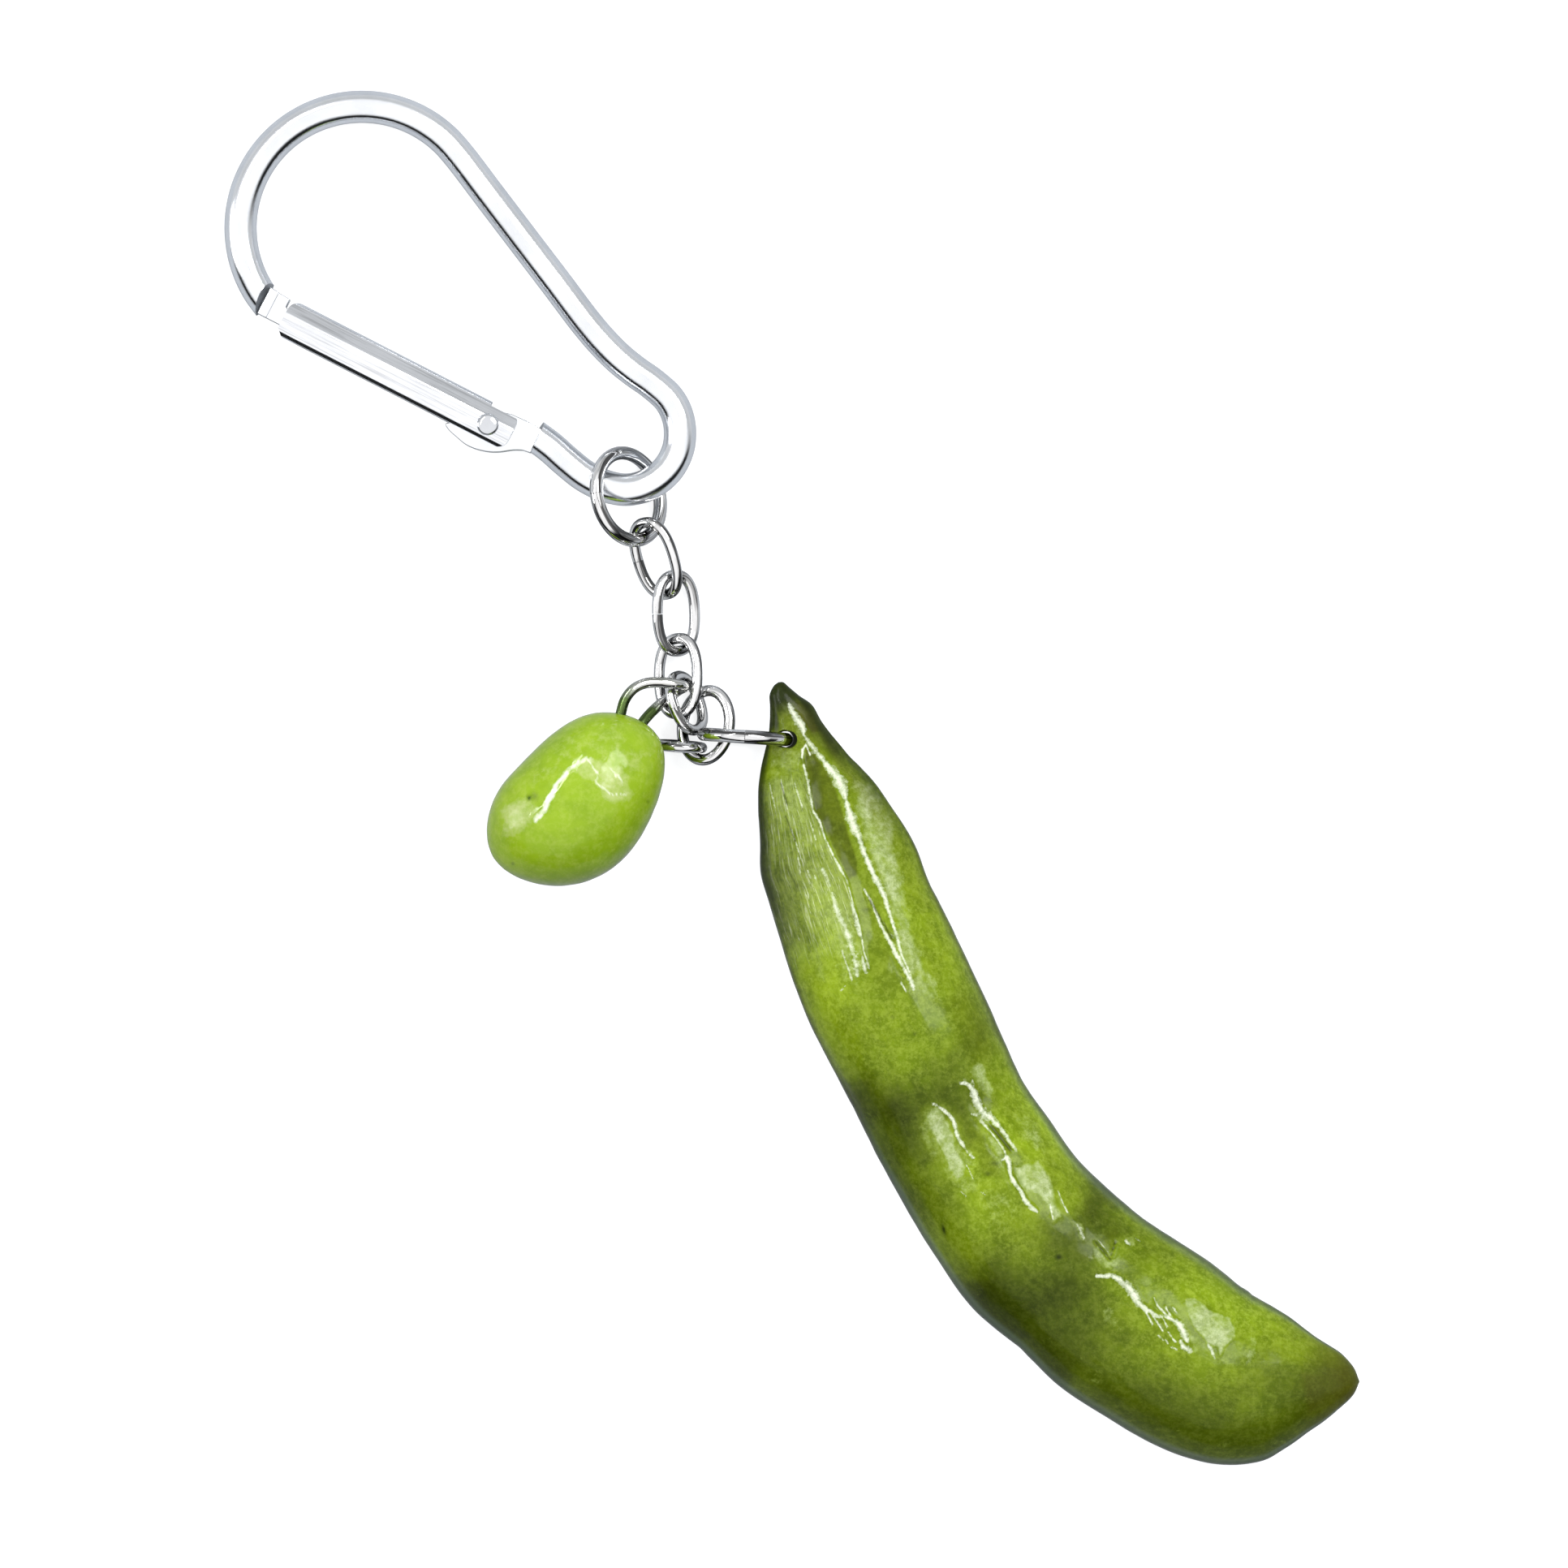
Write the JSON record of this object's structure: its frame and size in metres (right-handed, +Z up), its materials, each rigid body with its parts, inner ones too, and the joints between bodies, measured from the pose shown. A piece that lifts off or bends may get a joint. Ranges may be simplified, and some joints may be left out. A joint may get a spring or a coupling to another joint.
{
  "type": "edamame charm key chain",
  "caption": "Small snap-hook carabiner with a short cable chain that carries a glossy bean pod charm on a ring and a painted bean charm on a wire eye",
  "frame": {"origin": "middle of the footprint, on the surface the key chain lies on", "axes": "+Z up from the surface; +Y along the longest extent, from the pod towards the carabiner; +X towards the pod's tip"},
  "size_m": [0.0838, 0.1013, 0.0099],
  "materials": {
    "carabiner": "polished bright aluminium",
    "gate_works": "plain steel wire and turned steel",
    "chain": "bright nickel-plated wire",
    "painted_wire": "plated wire with green paint that fades out away from the bean",
    "bean_paint": "glossy yellow-green paint, faintly mottled",
    "pod_lacquer": "clear lacquer over mottled olive and yellow-green"
  },
  "bodies": {
    "carabiner": {"carabiner_body": "carabiner"},
    "gate": {"carabiner_gate": "carabiner", "gate_rivet": "carabiner", "gate_plunger": "gate_works", "gate_spring": "gate_works"},
    "ring_on_carabiner": {"carabiner_ring": "chain"},
    "link_1": {"chain_link_1": "chain"},
    "link_2": {"chain_link_2": "chain"},
    "link_3": {"chain_link_3": "chain"},
    "junction": {"junction_ring": "chain"},
    "bean_charm": {"bean_eye": "painted_wire", "bean": "bean_paint"},
    "ring_of_charms": {"charm_ring": "chain"},
    "end_ring": {"chain_end_ring": "chain"},
    "ring_of_pod": {"pod_ring": "chain"},
    "pod_charm": {"pod": "pod_lacquer"}
  },
  "joints": [
    {"name": "gate_hinge", "type": "hinge", "parent": "carabiner", "child": "gate", "pos_m": [-0.02237, 0.0259, 0.0021], "axis": [0.028, -0.0219, -0.9994], "range_deg": [0, 28], "stiffness_Nm_per_rad": 0.004, "springref_deg": -20.05},
    {"name": "ring_on_carabiner_yaw", "type": "hinge", "parent": "carabiner", "child": "ring_on_carabiner", "pos_m": [-0.01016, 0.02202, 0.0016], "axis": [0, 0, -1], "range_deg": [-10, 24]},
    {"name": "link_1_yaw", "type": "hinge", "parent": "ring_on_carabiner", "child": "link_1", "pos_m": [-0.01078, 0.0182, 0.0023], "axis": [0, 0, 1], "range_deg": [-30, 18]},
    {"name": "link_2_yaw", "type": "hinge", "parent": "link_1", "child": "link_2", "pos_m": [-0.00947, 0.01354, 0.0018], "axis": [0, 0, -1], "range_deg": [-40, 6]},
    {"name": "link_3_yaw", "type": "hinge", "parent": "link_2", "child": "link_3", "pos_m": [-0.00784, 0.00982, 0.0011], "axis": [0, 0, 1], "range_deg": [-40, 6]},
    {"name": "junction_yaw", "type": "hinge", "parent": "link_3", "child": "junction", "pos_m": [-0.00814, 0.00446, 0.0026], "axis": [0, 0, 1], "range_deg": [0, 8]},
    {"name": "bean_charm_yaw", "type": "hinge", "parent": "junction", "child": "bean_charm", "pos_m": [-0.0086, 0.00657, 0.003], "axis": [0, 0, 1], "range_deg": [-36, 0]},
    {"name": "ring_of_charms_yaw", "type": "hinge", "parent": "junction", "child": "ring_of_charms", "pos_m": [-0.00705, 0.00586, 0.0009], "axis": [0, 0, 1], "range_deg": [-2, 6]},
    {"name": "end_ring_swing", "type": "hinge", "parent": "ring_of_charms", "child": "end_ring", "pos_m": [-0.00786, 0.00226, 0.00145], "axis": [-0.3418, 0.8996, -0.272], "range_deg": [-6, 14]},
    {"name": "ring_of_pod_yaw", "type": "hinge", "parent": "ring_of_charms", "child": "ring_of_pod", "pos_m": [-0.00553, 0.00272, 0.0025], "axis": [0, 0, 1], "range_deg": [-40, 4]},
    {"name": "pod_charm_yaw", "type": "hinge", "parent": "ring_of_pod", "child": "pod_charm", "pos_m": [-0.00028, 0.00267, 0.0036], "axis": [0, 0, 1], "range_deg": [-18, 36]}
  ]
}
